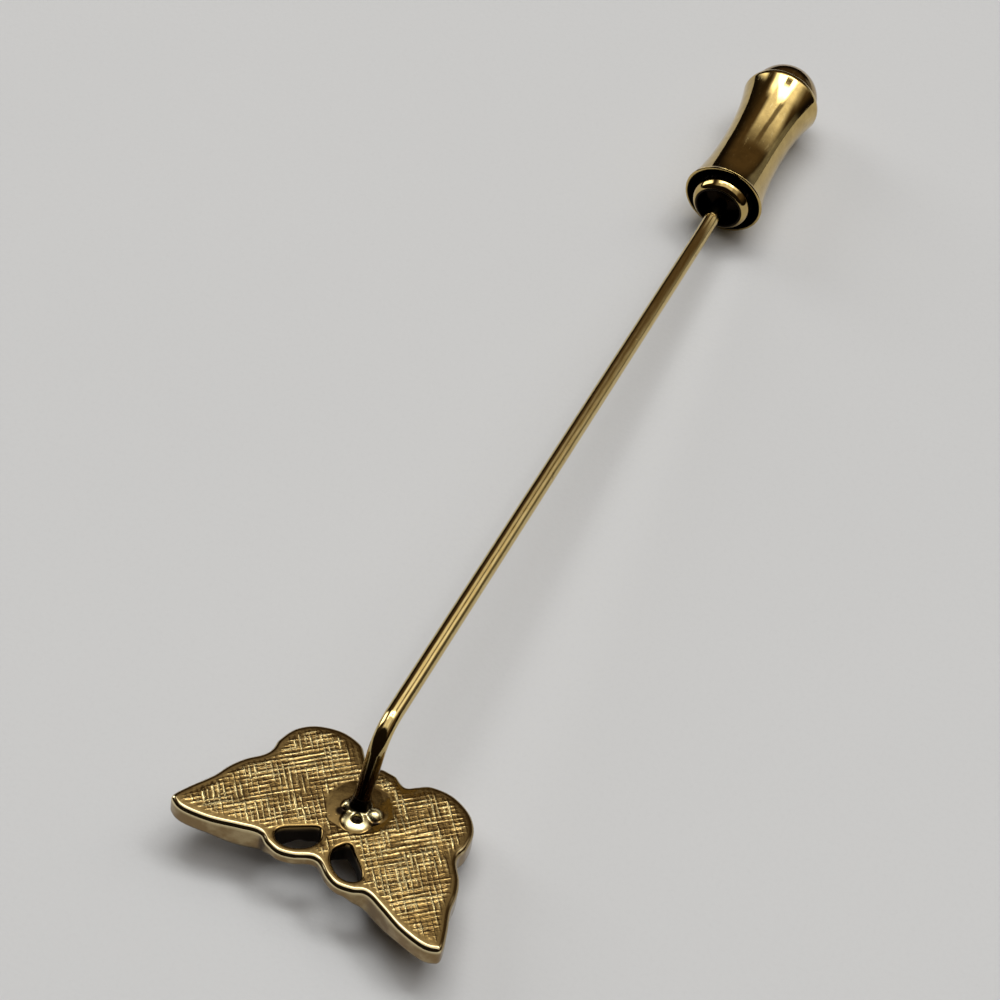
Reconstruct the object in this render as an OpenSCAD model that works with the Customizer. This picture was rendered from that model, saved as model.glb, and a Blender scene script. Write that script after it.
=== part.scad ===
// Stick pin lying face down: a cast butterfly, a bent pin wire soldered to its back, and a
// spool-shaped clutch on the point. Millimetres, +Z up. The pin rests on z = 0 on the two
// hind wings and on both rims of the clutch. The wire runs along +Y, the butterfly is at -Y.

/* [Butterfly] */
// Wing tip to wing tip
span = 17.4; // [14:0.1:26]
// Front of the forewings to back of the hind wings
chord = 9.74; // [8:0.02:14]
// Back of the hind wings to the middle of the wire's seat
seat_back = 3.85; // [3.2:0.05:4.6]
// Height of the side wall round the wings
edge_thick = 1.45; // [1.1:0.05:2.2]
// Thickness at the antennae, which lie further back than the wings
antenna_thick = 0.95; // [0.6:0.05:1.4]
// Thickness at the top of each wing's dome
dome_thick = 2.45; // [2.2:0.05:3.4]
// Radius of the forewings' domes
fore_dome_r = 4.6; // [4:0.1:8]
// Radius of the hind wings' domes
hind_dome_r = 4.2; // [3.4:0.1:6]
// Radius of the body's ridge on the front
body_r = 0.95; // [0.6:0.05:1.3]
// How far the tail side lies lower than level, in degrees
tilt = 9.9; // [6:0.1:14]
// How far the butterfly is turned on the wire, in degrees
turn = -6.3; // [-12:0.1:12]

/* [Seat of the wire] */
// Radius of the smooth pad round the wire
pad_r = 2.05; // [1.6:0.05:2.6]
// Height of the pad above the back
pad_h = 0.2; // [0.1:0.05:0.6]
// Radius of the solder's foot round the wire
solder_r = 1.0; // [0.8:0.05:1.5]
// Height of the solder on the wire
solder_h = 1.0; // [0.6:0.05:1.6]
// Radius of the solder drop in front of the wire
drop_r = 1.0; // [0.7:0.05:1.3]
// Height of the drop above the back
drop_h = 0.7; // [0.4:0.05:0.9]
// Middle of the wire to the middle of the drop
drop_fore = 0.75; // [0.5:0.05:1]

/* [Pin wire] */
// Thickness of the wire
wire_d = 1; // [0.8:0.05:1.2]
// From the bend above the butterfly to the slight bend before the clutch
shaft_len = 47.5; // [30:0.1:80]
// How far the shaft falls towards the clutch, in degrees
fall = 5.56; // [5:0.01:6.5]
// Angle that the wire turns through above the butterfly
bend_angle = 69.4; // [60:0.2:80]
// Radius of that bend, at the middle of the wire
bend_r = 2; // [1.5:0.1:2.6]
// Sideways lean of the standing wire, in degrees
lean = 3.1; // [-6:0.1:6]
// Radius of the slight bend before the clutch
ease_r = 30; // [12:1:40]
// From the slight bend to the clutch's near rim
ease_back = 3; // [2.8:0.1:4.5]
// Length of the wire past the clutch's near rim
wire_in = 9; // [7:0.1:9.6]
// Length of the tapered point
point_len = 2.2; // [1:0.1:4]
// Width of the point's blunt end
point_d = 0.2; // [0.1:0.05:0.4]

/* [Clutch] */
// Length of the sleeve, rim to rim
sleeve_len = 11; // [10.8:0.1:14]
// Radius of the sleeve at its waist
waist_r = 2.12; // [2:0.01:2.3]
// Radius of the near rim
near_r = 2.73; // [2.6:0.01:2.9]
// Radius of the far rim
far_r = 2.7; // [2.65:0.01:3]
// Length of each flare
flare_len = 3.4; // [3:0.1:4]
// Thickness of the sleeve at its rims
sleeve_wall = 0.28; // [0.22:0.01:0.34]
// Radius of the collar that looks out of the near rim
collar_r = 2; // [1.85:0.01:2.05]
// How far the collar stands out of the near rim
collar_out = 0.9; // [0.6:0.05:1.2]
// How far the collar reaches into the near rim
collar_in = 1; // [0.7:0.05:1.2]
// Radius of the collar's mouth
mouth_r = 1.5; // [1.2:0.05:1.6]
// Depth of the collar's mouth
mouth_deep = 1.5; // [1:0.05:1.7]
// Radius of the inner tube that carries the sleeve
tube_r = 1.5; // [1.3:0.01:1.6]
// Radius of the domed end
dome_r = 2.24; // [2.1:0.01:2.3]
// How deep the domed end sits in the far rim
knob_in = 0.35; // [0.2:0.05:0.5]
// How far the tube reaches into the domed end
knob_bite = 0.5; // [0.3:0.05:0.8]
// How far the sleeve can be drawn towards the domed end
draw = 0.6; // [0.3:0.05:0.7]
// Running clearance on radius, pin wire in tube and tube in sleeve
clearance = 0.05; // [0.03:0.01:0.1]

/* [Hidden] */
$fn = 96;
eps = 0.01;
// How far a cutter runs past what it cuts
past = 1;
// Each straight stretch of wire runs a little way into the bend beside it, which is a hair thicker
joint_lap = 0.05;
bend_d = wire_d + eps;
// Gap between two pieces that are pressed together
press_gap = 0.02;
// Room past the wire's point in the tube
point_room = 0.4;
gold = [0.80, 0.66, 0.36];
pale_gold = [0.86, 0.74, 0.46];

// Half outline of the butterfly, seen on its back, from the notch between the antennae round
// the wing to the end of the tail: [share of half the span, share of the chord from the back].
WING = [
    [0.000, 0.850], [0.042, 0.862], [0.123, 0.909], [0.217, 0.934], [0.317, 0.916], [0.399, 0.881],
    [0.522, 0.915], [0.698, 0.973], [0.880, 1.000], [0.974, 0.979], [1.000, 0.938], [0.958, 0.830],
    [0.891, 0.695], [0.859, 0.583], [0.810, 0.488], [0.735, 0.405], [0.711, 0.345], [0.719, 0.270],
    [0.685, 0.146], [0.586, 0.051], [0.428, 0.000], [0.276, 0.016], [0.202, 0.068], [0.153, 0.107],
    [0.106, 0.101], [0.053, 0.076], [0.000, 0.074]
];
// Pierced opening between an antenna and the wing, in the same shares
OPENING = [
    [0.055, 0.745], [0.072, 0.692], [0.104, 0.656], [0.142, 0.665], [0.230, 0.726], [0.295, 0.776],
    [0.315, 0.822], [0.276, 0.862], [0.217, 0.872], [0.158, 0.857], [0.090, 0.811]
];
// Zone of the antennae, which is thinner than the wings
HEAD_ZONE = [[-0.40, 1.10], [-0.40, 0.86], [-0.10, 0.62], [0.10, 0.62], [0.40, 0.86], [0.40, 1.10]];
CURVE_STEPS = 3;

// Middles of the domes and ends of the body, the same shares
FORE_DOME = [0.58, 0.68];
HIND_DOME = [0.43, 0.25];
BODY_FRONT = 0.72;
BODY_TAIL = 0.18;
// How much thicker the body is at its front than at its tail
BODY_SWELL = 0.25;

rise = atan((far_r - near_r) / sleeve_len);
rim_z = near_r * cos(rise);
ease_angle = fall + rise;
ease_t = ease_r * tan(ease_angle / 2);
bend_t = bend_r * tan(bend_angle / 2);
bore_r = tube_r + clearance;
knob_base = sleeve_len - knob_in;
tube_end = knob_base + knob_bite;

// The wire's corner, and the way up the standing wire
ease_point = [0, -ease_back * cos(rise), rim_z - ease_back * sin(rise)];
corner = ease_point - shaft_len * [0, cos(fall), -sin(fall)];
up_wire = [
    sin(bend_angle) * sin(lean),
    cos(bend_angle) * cos(fall) + sin(bend_angle) * cos(lean) * sin(fall),
    sin(bend_angle) * cos(lean) * cos(fall) - cos(bend_angle) * sin(fall)
];
// Height of the wire's seat when the hind wings' domes touch the surface
seat_z = hind_dome_r + place(HIND_DOME)[1] * sin(tilt) + (dome_thick - hind_dome_r) * cos(tilt);
post_len = (corner[2] - seat_z) / up_wire[2];
seat = corner - post_len * up_wire;

// Middle of the whole thing on the surface, which becomes the origin
plate_rim = [for (p = wing_outline()) for (z = [0, -edge_thick]) on_plate([p[0], p[1], z])];
xs = [for (p = plate_rim) p[0]];
ys = [for (p = plate_rim) p[1]];
end_y = sleeve_len * cos(rise) + dome_r;
middle = [(min(xs) + max(xs)) / 2, (min(ys) + end_y) / 2, 0];

function place(share) = [share[0] * span / 2, seat_back - share[1] * chord];
function through(a, b, c, d, t) =
    0.5 * (2 * b + (c - a) * t + (2 * a - 5 * b + 4 * c - d) * t * t + (3 * b - a - 3 * c + d) * t * t * t);
function curve(p) = [
    for (i = [0 : len(p) - 1])
        for (k = [0 : CURVE_STEPS - 1])
            through(p[(i + len(p) - 1) % len(p)], p[i], p[(i + 1) % len(p)], p[(i + 2) % len(p)],
                k / CURVE_STEPS)
];
function both_sides(half) = concat(half, [for (i = [len(half) - 2 : -1 : 1]) [-half[i][0], half[i][1]]]);
function wing_outline() = [for (p = curve(both_sides(WING))) place(p)];
function on_plate(p) =
    let (y = p[1] * cos(tilt) + p[2] * sin(tilt), z = p[2] * cos(tilt) - p[1] * sin(tilt))
    seat + [p[0] * cos(turn) - y * sin(turn), p[0] * sin(turn) + y * cos(turn), z];
// How open a flare is, s away from its rim: all at the rim, nothing where the waist starts
function flare(s) = s < flare_len ? (1 + cos(180 * s / flare_len)) / 2 : 0;
// Radius of the sleeve's outside, s from the near rim
function sleeve_r(s) = waist_r + (near_r - waist_r) * flare(s) + (far_r - waist_r) * flare(sleeve_len - s);

module on_floor() {
    translate(-middle) children();
}

module in_plate() {
    on_floor() translate(seat) rotate([0, 0, turn]) rotate([-tilt, 0, 0]) children();
}

module on_shaft() {
    on_floor() translate(corner) rotate([-fall, 0, 0]) children();
}

// Along the clutch: +Z of the children runs from the near rim to the domed end
module on_clutch() {
    on_floor() translate([0, 0, rim_z]) rotate([rise, 0, 0]) rotate([-90, 0, 0]) children();
}

module wings() {
    polygon(wing_outline());
}

module head_zone() {
    polygon([for (p = HEAD_ZONE) place(p)]);
}

module openings() {
    for (side = [-1, 1])
        polygon([for (p = curve(OPENING)) [side * place(p)[0], place(p)[1]]]);
}

module dome(share, r) {
    for (side = [-1, 1])
        translate([side * place(share)[0], place(share)[1], r - dome_thick]) sphere(r);
}

module casting() {
    difference() {
        union() {
            translate([0, 0, -antenna_thick]) linear_extrude(antenna_thick) wings();
            translate([0, 0, -edge_thick]) linear_extrude(edge_thick) difference() {
                wings();
                head_zone();
            }
            intersection() {
                translate([0, 0, -dome_thick]) linear_extrude(dome_thick - eps) wings();
                union() {
                    dome(FORE_DOME, fore_dome_r);
                    dome(HIND_DOME, hind_dome_r);
                }
            }
            body_ridge();
        }
        translate([0, 0, -dome_thick - past]) linear_extrude(dome_thick + 2 * past) openings();
    }
}

// The body on the front: a slim spindle that tapers to the tail, two thirds of it proud
module body_ridge() {
    front = place([0, BODY_FRONT])[1];
    len = place([0, BODY_TAIL])[1] - front;
    profile = [
        for (a = [0 : 15 : 180])
            [body_r * sin(a) * (1 + BODY_SWELL * cos(a)), len * (1 - cos(a)) / 2]
    ];
    translate([0, front, -edge_thick + body_r / 3]) rotate([-90, 0, 0])
        rotate_extrude() polygon(profile);
}

module wire_seat() {
    translate([0, 0, -pad_h]) cylinder(r = pad_r, h = 2 * pad_h);
    translate([0, -drop_fore, drop_h - drop_r]) sphere(drop_r);
}

module standing_wire() {
    rotate([0, lean, 0]) {
        translate([0, bend_t, -bend_r])
            rotate([90, 0, 90]) rotate([0, 0, 90])
            rotate_extrude(angle = bend_angle) translate([bend_r, 0]) circle(d = bend_d);
        rotate([bend_angle - 90, 0, 0]) translate([0, 0, -post_len]) {
            translate([0, 0, -wire_d / 2])
                cylinder(d = wire_d, h = post_len + wire_d / 2 - bend_t + joint_lap);
            translate([0, 0, -pad_h])
                cylinder(r1 = solder_r, r2 = bend_d / 2, h = solder_h + pad_h);
        }
    }
}

module shaft() {
    translate([0, bend_t - joint_lap, 0]) rotate([-90, 0, 0])
        cylinder(d = wire_d, h = shaft_len - bend_t - ease_t + 2 * joint_lap);
    translate([0, shaft_len - ease_t, ease_r])
        rotate([90, 0, 90]) rotate([0, 0, -90])
        rotate_extrude(angle = ease_angle) translate([ease_r, 0]) circle(d = bend_d);
}

module wire_end() {
    start = ease_t - ease_back - joint_lap;
    translate([0, 0, start]) cylinder(d = wire_d, h = wire_in - point_len - start);
    translate([0, 0, wire_in - point_len])
        cylinder(d1 = wire_d, d2 = point_d, h = point_len);
}

module butterfly_pin() {
    color(gold) {
        in_plate() {
            casting();
            wire_seat();
        }
        on_shaft() {
            standing_wire();
            shaft();
        }
        on_clutch() wire_end();
    }
}

// The sleeve runs on the tube between the collar and the domed end. Each end has a cup: the
// near cup's floor stops at the collar, the far cup's floor at the domed end once it is drawn.
module sleeve_hollow() {
    near_floor = collar_in + clearance;
    far_floor = knob_base - draw - clearance;
    profile = [
        [0, -eps],
        [near_r - sleeve_wall, -eps],
        [collar_r + 2 * clearance, near_floor],
        [bore_r, near_floor],
        [bore_r, far_floor],
        [dome_r + 2 * clearance, far_floor],
        [far_r - sleeve_wall, sleeve_len + eps],
        [0, sleeve_len + eps]
    ];
    rotate_extrude() polygon(profile);
}

module clutch_sleeve() {
    steps = 36;
    profile = concat(
        [[0, 0]],
        [for (i = [0 : steps]) [sleeve_r(sleeve_len * i / steps), sleeve_len * i / steps]],
        [[0, sleeve_len]]
    );
    color(pale_gold) on_clutch() difference() {
        rotate_extrude() polygon(profile);
        sleeve_hollow();
    }
}

module clutch_collar() {
    color(gold) on_clutch() translate([0, 0, -collar_out]) difference() {
        union() {
            cylinder(r = collar_r, h = collar_out + collar_in);
            cylinder(r = tube_r, h = collar_out + tube_end);
        }
        translate([0, 0, -eps]) cylinder(r = mouth_r, h = mouth_deep + eps);
        cylinder(d = wire_d + 2 * clearance, h = collar_out + wire_in + point_room);
    }
}

module clutch_knob() {
    color(pale_gold) on_clutch() difference() {
        union() {
            translate([0, 0, knob_base]) cylinder(r = dome_r, h = knob_in);
            translate([0, 0, sleeve_len]) intersection() {
                sphere(dome_r);
                cylinder(r = dome_r + past, h = dome_r + past);
            }
        }
        translate([0, 0, knob_base - eps])
            cylinder(r = tube_r + press_gap, h = knob_bite + press_gap + eps);
    }
}

butterfly_pin();
clutch_sleeve();
clutch_collar();
clutch_knob();
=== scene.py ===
# %% [markdown]
# # A butterfly stick pin, seen from its back
# The pin lies face down on pale paper: a small cast butterfly, a bent wire that is soldered to
# the middle of its back, and a spool-shaped clutch that guards the wire's point. The packed
# model gives the frame: every piece below is made where that model has it, and only the looks
# are new. Loading it first means that a piece can never drift away from what carries it.

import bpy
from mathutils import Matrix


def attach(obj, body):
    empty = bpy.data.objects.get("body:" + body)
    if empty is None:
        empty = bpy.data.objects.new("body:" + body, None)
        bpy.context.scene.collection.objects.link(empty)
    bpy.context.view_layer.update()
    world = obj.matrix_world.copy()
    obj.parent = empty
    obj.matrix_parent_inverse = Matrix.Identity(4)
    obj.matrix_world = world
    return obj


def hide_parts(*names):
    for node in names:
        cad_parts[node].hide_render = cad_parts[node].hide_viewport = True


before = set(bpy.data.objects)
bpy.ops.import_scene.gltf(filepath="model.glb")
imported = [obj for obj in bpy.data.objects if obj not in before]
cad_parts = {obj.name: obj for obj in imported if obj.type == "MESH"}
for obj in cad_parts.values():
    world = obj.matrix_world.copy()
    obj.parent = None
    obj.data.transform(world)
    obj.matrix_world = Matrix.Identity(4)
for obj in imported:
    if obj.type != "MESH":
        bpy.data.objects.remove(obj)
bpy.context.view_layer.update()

# %% [markdown]
# Jewellery is thought of in millimetres and Blender works in metres, so every length below is
# written in millimetres and turned into metres in one place, where a mesh is made.

# %% Tools and units
import math

import bmesh
import bpy
from mathutils import Matrix, Vector, noise
from mathutils.geometry import delaunay_2d_cdt
from mathutils.kdtree import KDTree

MM = 0.001


def smooth_step(low, high, value):
    share = min(1.0, max(0.0, (value - low) / (high - low)))
    return share * share * (3 - 2 * share)


def soft_max(a, b, blend):
    near = max(0.0, blend - abs(a - b)) / blend
    return max(a, b) + near * near * blend / 4


print("one millimetre is", MM, "of Blender's units")

# %% [markdown]
# ## The camera
# The photograph was taken with a phone held close, about 16 cm away, looking down at 52 degrees
# and a little rolled. Its place was found by fitting the model's outlines to the picture. A
# camera can be aimed with Euler angles, but a roll is easier to keep right when the camera's
# own three axes are worked out as vectors and set as the columns of its matrix.

# %% Camera
EYE = Vector((33.911, -93.552, 122.886))
HEADING = math.radians(-22.232)
LOOK_DOWN = math.radians(52)
ROLL = math.radians(3.7446)
LENS = 91.13

level_right = Vector((math.cos(HEADING), -math.sin(HEADING), 0))
level_up = Vector((
    math.sin(HEADING) * math.sin(LOOK_DOWN),
    math.cos(HEADING) * math.sin(LOOK_DOWN),
    math.cos(LOOK_DOWN),
))
right = level_right * math.cos(ROLL) + level_up * math.sin(ROLL)
up = level_up * math.cos(ROLL) - level_right * math.sin(ROLL)
back = right.cross(up)

camera_data = bpy.data.cameras.new("camera")
camera_data.lens = LENS
camera_data.sensor_width = 36
camera_data.clip_start = 0.005
camera_data.clip_end = 20
camera = bpy.data.objects.new("camera", camera_data)
bpy.context.collection.objects.link(camera)
turn = Matrix((right, up, back)).transposed().to_4x4()
camera.matrix_world = Matrix.Translation(EYE * MM) @ turn
bpy.context.scene.camera = camera
print("camera looks along", [round(-v, 4) for v in back])

# %% [markdown]
# ## Finishes as expressions
# A finish is a small network of nodes. Writing it as sums keeps it readable, so one class wraps
# a socket and lets Python's own operators add the Math nodes. Colours go through Mix instead,
# since a Math node would turn them grey. Every other node comes from one method that takes the
# node's type, its settings and what goes into its sockets. Two shapes return all the time, so
# they have names too: between is a smooth step, and band rises and falls again.

# %% A socket that can be calculated with
class Socket:
    def __init__(self, tree, plug):
        self.tree = tree
        self.plug = plug

    def math(self, operation, *items):
        node = self.tree.nodes.new("ShaderNodeMath")
        node.operation = operation
        for place, item in zip(node.inputs, items):
            feed(self.tree, place, item)
        return Socket(self.tree, node.outputs[0])

    def __add__(self, other):
        return self.math("ADD", self, other)

    def __radd__(self, other):
        return self.math("ADD", other, self)

    def __sub__(self, other):
        return self.math("SUBTRACT", self, other)

    def __rsub__(self, other):
        return self.math("SUBTRACT", other, self)

    def __mul__(self, other):
        return self.math("MULTIPLY", self, other)

    def __rmul__(self, other):
        return self.math("MULTIPLY", other, self)

    def __pow__(self, other):
        return self.math("POWER", self, other)

    def sine(self):
        return self.math("SINE", self)

    def larger(self, other):
        return self.math("MAXIMUM", self, other)


def feed(tree, place, item):
    if isinstance(item, Socket):
        tree.links.new(item.plug, place)
    else:
        place.default_value = item


print("operators ready:", [n for n in vars(Socket) if n.startswith("__")])

# %% A recipe is a node tree with one way to add a node
class Recipe:
    def __init__(self, owner):
        owner.use_nodes = True
        self.owner = owner
        self.tree = owner.node_tree
        self.tree.nodes.clear()

    def node(self, kind, settings=None, sockets=None, out=0):
        node = self.tree.nodes.new(kind)
        for name, value in (settings or {}).items():
            setattr(node, name, value)
        for name, value in (sockets or {}).items():
            place = next(p for p in node.inputs if p.identifier == name)
            feed(self.tree, place, value)
        if isinstance(out, int):
            return Socket(self.tree, node.outputs[out]) if node.outputs else None
        return Socket(self.tree, next(p for p in node.outputs if p.identifier == out))

    def between(self, low, high, value, start=0.0, end=1.0):
        return self.node(
            "ShaderNodeMapRange",
            {"interpolation_type": "SMOOTHSTEP"},
            {"Value": value, "From Min": low, "From Max": high, "To Min": start, "To Max": end},
        )

    def band(self, value, low, full, fade, high):
        return self.between(low, full, value) * self.between(fade, high, value, 1.0, 0.0)

    def tint(self, share, low, high):
        return self.node(
            "ShaderNodeMix",
            {"data_type": "RGBA"},
            {"Factor_Float": share, "A_Color": low, "B_Color": high},
            "Result_Color",
        )

    def noise(self, where, scale, detail=2.0, roughness=0.5):
        return self.node(
            "ShaderNodeTexNoise",
            {},
            {"Vector": where, "Scale": scale, "Detail": detail, "Roughness": roughness},
        )

    def millimetres(self):
        return self.node("ShaderNodeAttribute", {"attribute_name": "spot"}, {}, "Vector")

    def mask(self, name):
        return self.node("ShaderNodeAttribute", {"attribute_name": name}, {}, "Fac")

    def stretched(self, vector, sizes):
        return self.node(
            "ShaderNodeVectorMath",
            {"operation": "MULTIPLY"},
            {"Vector": vector, "Vector_001": sizes},
        )

    def parts(self, vector):
        return [
            self.node("ShaderNodeSeparateXYZ", {}, {"Vector": vector}, axis) for axis in "XYZ"
        ]

    def along(self, vector, angle, stretch):
        turned = self.node(
            "ShaderNodeVectorRotate",
            {"rotation_type": "Z_AXIS"},
            {"Vector": vector, "Angle": angle},
        )
        return self.stretched(turned, stretch)

    def bump(self, height, strength, distance):
        return self.node(
            "ShaderNodeBump",
            {},
            {"Height": height, "Strength": strength, "Distance": distance},
            "Normal",
        )


def colour(red, green, blue):
    return (red, green, blue, 1.0)


def new_finish(name):
    return Recipe(bpy.data.materials.new(name))


def finish_with(recipe, sockets):
    shader = recipe.node("ShaderNodeBsdfPrincipled", {}, sockets, "BSDF")
    recipe.node("ShaderNodeOutputMaterial", {}, {"Surface": shader})
    return recipe.owner


def gold_with(recipe, shade, rough, relief):
    return finish_with(recipe, {
        "Base Color": shade, "Metallic": 1.0, "Roughness": rough, "Normal": relief,
    })


print("recipes can add:", [n for n in vars(Recipe) if not n.startswith("_")])

# %% [markdown]
# ## The room
# Polished gold has no look of its own: it shows the room. The bend of the wire works like a
# small mirror ball, and it gives the room away: a pale ceiling that is brightest beyond the pin,
# windows on the left and further back, brown walls, and nothing but dark on the near side, where
# the phone is held. Painted as a function of the direction, one sky gives all those reflections
# at once and stays put in every view. A photographed sky could do it too, but this needs no
# image.

# %% The walls, dark on the phone's side
DARK_SIDE = colour(0.010, 0.007, 0.005)
BROWN_WALL = colour(0.105, 0.072, 0.042)

room = Recipe(bpy.data.worlds.new("room"))
bpy.context.scene.world = room.owner
direction = room.node("ShaderNodeTexCoord", {}, {}, "Generated")
east, north, height = room.parts(direction)
past_phone = room.between(-0.36, -0.22, north)
off_left = room.between(-0.72, -0.46, east, 0.3, 1.0)
lit_wall = room.between(0.05, 0.45, height) * past_phone * off_left
walls = room.tint(lit_wall, DARK_SIDE, BROWN_WALL)
print("the walls take", len(room.tree.nodes), "nodes")

# %% [markdown]
# A direction's share to the east and its share to the north make a map of the sky, with the
# point overhead in the middle. On that map every light is a rectangle with soft edges. They are
# laid over each other: the plain ceiling, a glow that is strongest beyond the pin, a patch
# overhead, a window on the left and a low, far one outside it.

# %% Ceiling and windows as soft rectangles
SKY_LIGHTS = {
    # from and to east, from and to north, blur of the edges, strength
    "ceiling": (-0.55, 0.78, -0.28, 0.50, 0.06, 0.40),
    "glow": (-0.34, 0.66, 0.24, 0.70, 0.09, 1.30),
    "overhead": (-0.38, 0.48, -0.29, 0.20, 0.06, 0.60),
    "side window": (-0.48, -0.28, 0.10, 0.50, 0.06, 3.0),
    "low window": (-1.20, -0.76, 0.06, 0.42, 0.06, 3.6),
}


def field(low_east, high_east, low_north, high_north, blur, strength):
    across = room.band(
        east, low_east - blur, low_east + blur, high_east - blur, high_east + blur
    )
    away = room.band(
        north, low_north - blur, low_north + blur, high_north - blur, high_north + blur
    )
    return across * away * room.between(0.02, 0.14, height) * strength


light = sum(field(*row) for row in SKY_LIGHTS.values())
print("soft rectangles:", ", ".join(SKY_LIGHTS))

# %% [markdown]
# The window at the back is not a rectangle: it tapers away from the camera. Something dark hangs
# in its wide end, and a slanted bar crosses the glow beyond it, so both are masks that darken
# what they cover. A faint patch of wall on the right, near the horizon, fills the right flanks
# of the wire and the clutch.

# %% Back window, dark knot, slanted bar and right wall
BACK_WINDOW = 6.6
RIGHT_WALL = 0.20
KNOT_SHADE = 0.99
BAR_SHADE = 0.85
PANE_EDGE = 0.05

taper = (north - 0.36).larger(0.0)
left_edge = room.between(-PANE_EDGE, PANE_EDGE, east + 0.36 - taper * 2.2)
right_edge = room.between(-PANE_EDGE, PANE_EDGE, 0.44 - taper * 0.6 - east)
pane = left_edge * right_edge * room.band(north, 0.24, 0.30, 0.49, 0.57)
knot = room.band(east - 0.12, -0.16, -0.11, 0.11, 0.16) * room.band(north, 0.29, 0.32, 0.37, 0.41)
off_bar = east + north * 0.9 - 0.822
bar = room.band(off_bar, -0.14, -0.06, 0.06, 0.14) * room.band(north, 0.51, 0.56, 0.72, 0.80)
right_wall = room.between(0.26, 0.42, east) * room.between(0.52, 0.66, north)
right_wall = right_wall * room.band(height, -0.30, -0.12, 0.12, 0.22)
light = (light + pane * BACK_WINDOW) * (1 - bar * BAR_SHADE) * (1 - knot * KNOT_SHADE)
light = light + right_wall * RIGHT_WALL
print("walls and lights take", len(room.tree.nodes), "nodes")

# %% Lights over the walls
DAYLIGHT = (1.0, 0.995, 0.975)

lights = room.node(
    "ShaderNodeVectorMath", {"operation": "SCALE"}, {"Vector": DAYLIGHT, "Scale": light}
)
sky = room.node(
    "ShaderNodeVectorMath", {"operation": "ADD"}, {"Vector": walls, "Vector_001": lights}
)
sky_light = room.node("ShaderNodeBackground", {}, {"Color": sky, "Strength": 1.0}, "Background")
room.node("ShaderNodeOutputWorld", {}, {"Surface": sky_light})
print("the room has", len(room.tree.nodes), "nodes")

# %% [markdown]
# ## The paper
# The pin lies on smooth pale paper. A plane is enough for it, but it needs a faint tooth and
# slow mottling, or the soft shadows would lie on something that looks like a screen. The real
# sheet is small, and the metal mirrors the dark room just past its edges. So there are two
# pieces of the same paper: a sheet that the metal mirrors, and a wide surround that it doesn't.

# %% Paper finish
def paper_finish():
    paper = new_finish("pale_paper")
    place = paper.node("ShaderNodeTexCoord", {}, {}, "Object")
    where = paper.stretched(place, (1 / MM, 1 / MM, 1 / MM))
    cloud = paper.noise(where, 0.03, 3.0)
    tooth = paper.noise(where, 3.2, 4.0, 0.6)
    shade = paper.tint(cloud, colour(0.628, 0.640, 0.655), colour(0.656, 0.666, 0.680))
    fleck = paper.between(0.45, 0.75, tooth)
    shade = paper.tint(fleck * 0.08, shade, colour(0.50, 0.51, 0.52))
    relief = paper.bump(tooth, 0.10, 0.0001)
    return finish_with(paper, {"Base Color": shade, "Roughness": 0.85, "Normal": relief})


pale_paper = paper_finish()
print(pale_paper.name, "takes", len(pale_paper.node_tree.nodes), "nodes")

# %% Sheet and surround
SHEET = (-48, -50, 34, 72)
SURROUND = (-700, -700, 700, 700)


def flat_piece(name, outer, inner):
    corners = []
    for low_x, low_y, high_x, high_y in (outer, inner):
        corners += [(low_x, low_y), (high_x, low_y), (high_x, high_y), (low_x, high_y)]
    points = [(x * MM, y * MM, 0) for x, y in corners]
    faces = [(0, 1, 5, 4), (1, 2, 6, 5), (2, 3, 7, 6), (3, 0, 4, 7)]
    if outer == inner:
        points = points[:4]
        faces = [(0, 1, 2, 3)]
    mesh = bpy.data.meshes.new(name)
    mesh.from_pydata(points, [], faces)
    piece = bpy.data.objects.new(name, mesh)
    bpy.context.collection.objects.link(piece)
    return piece


sheet = flat_piece("paper_sheet", SHEET, SHEET)
surround = flat_piece("paper_surround", SURROUND, SHEET)
for piece in (sheet, surround):
    piece.data.materials.append(pale_paper)
surround.visible_glossy = False
print("the sheet is", SHEET[2] - SHEET[0], "by", SHEET[3] - SHEET[1], "mm")

# %% [markdown]
# ## Making meshes
# Three shapes of thing are needed: a cast plate, a swept wire and turned pieces. All end as a
# list of points in millimetres and a list of faces, so one function makes the object, scales
# it, shades it smooth and sets it on the body and the packed piece that it stands for.

# %% From points and faces to a piece
def make_piece(name, points, faces, finish, carried, place=None, masks=None):
    body, node, slot = carried
    place = place or Matrix.Identity(4)
    mesh = bpy.data.meshes.new(name)
    mesh.from_pydata([place @ Vector(p) * MM for p in points], [], faces)
    work = bmesh.new()
    work.from_mesh(mesh)
    bmesh.ops.recalc_face_normals(work, faces=work.faces)
    work.to_mesh(mesh)
    work.free()
    mesh.shade_smooth()
    spots = mesh.attributes.new("spot", "FLOAT_VECTOR", "POINT")
    spots.data.foreach_set("vector", [number for p in points for number in p])
    for mask, values in (masks or {}).items():
        stored = mesh.attributes.new(mask, "FLOAT", "POINT")
        stored.data.foreach_set("value", values)
    mesh.materials.append(finish)
    piece = bpy.data.objects.new(name, mesh)
    bpy.context.collection.objects.link(piece)
    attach(piece, body)
    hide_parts(node)
    print(name, "has", len(mesh.vertices), "points and", len(mesh.polygons), "faces")


# body, packed piece and material slot
ON_PIN = ("pin", "butterfly_pin", "polished_gold")
AS_SLEEVE = ("sleeve", "clutch_sleeve", "clutch_gold")
AS_COLLAR = ("clutch", "clutch_collar", "clutch_gold")
AS_KNOB = ("clutch", "clutch_knob", "clutch_gold")

# %% [markdown]
# ## The butterfly's outline
# The casting is a flat-backed butterfly whose back was finished with crossed file strokes
# inside a smooth rim. Its outline is a short table of shares of the span and the chord, the
# same as in the packed model. A smooth curve through the table is cut into even steps, so that
# the rounded edge along it gets even faces and a clean line of light.

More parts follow.
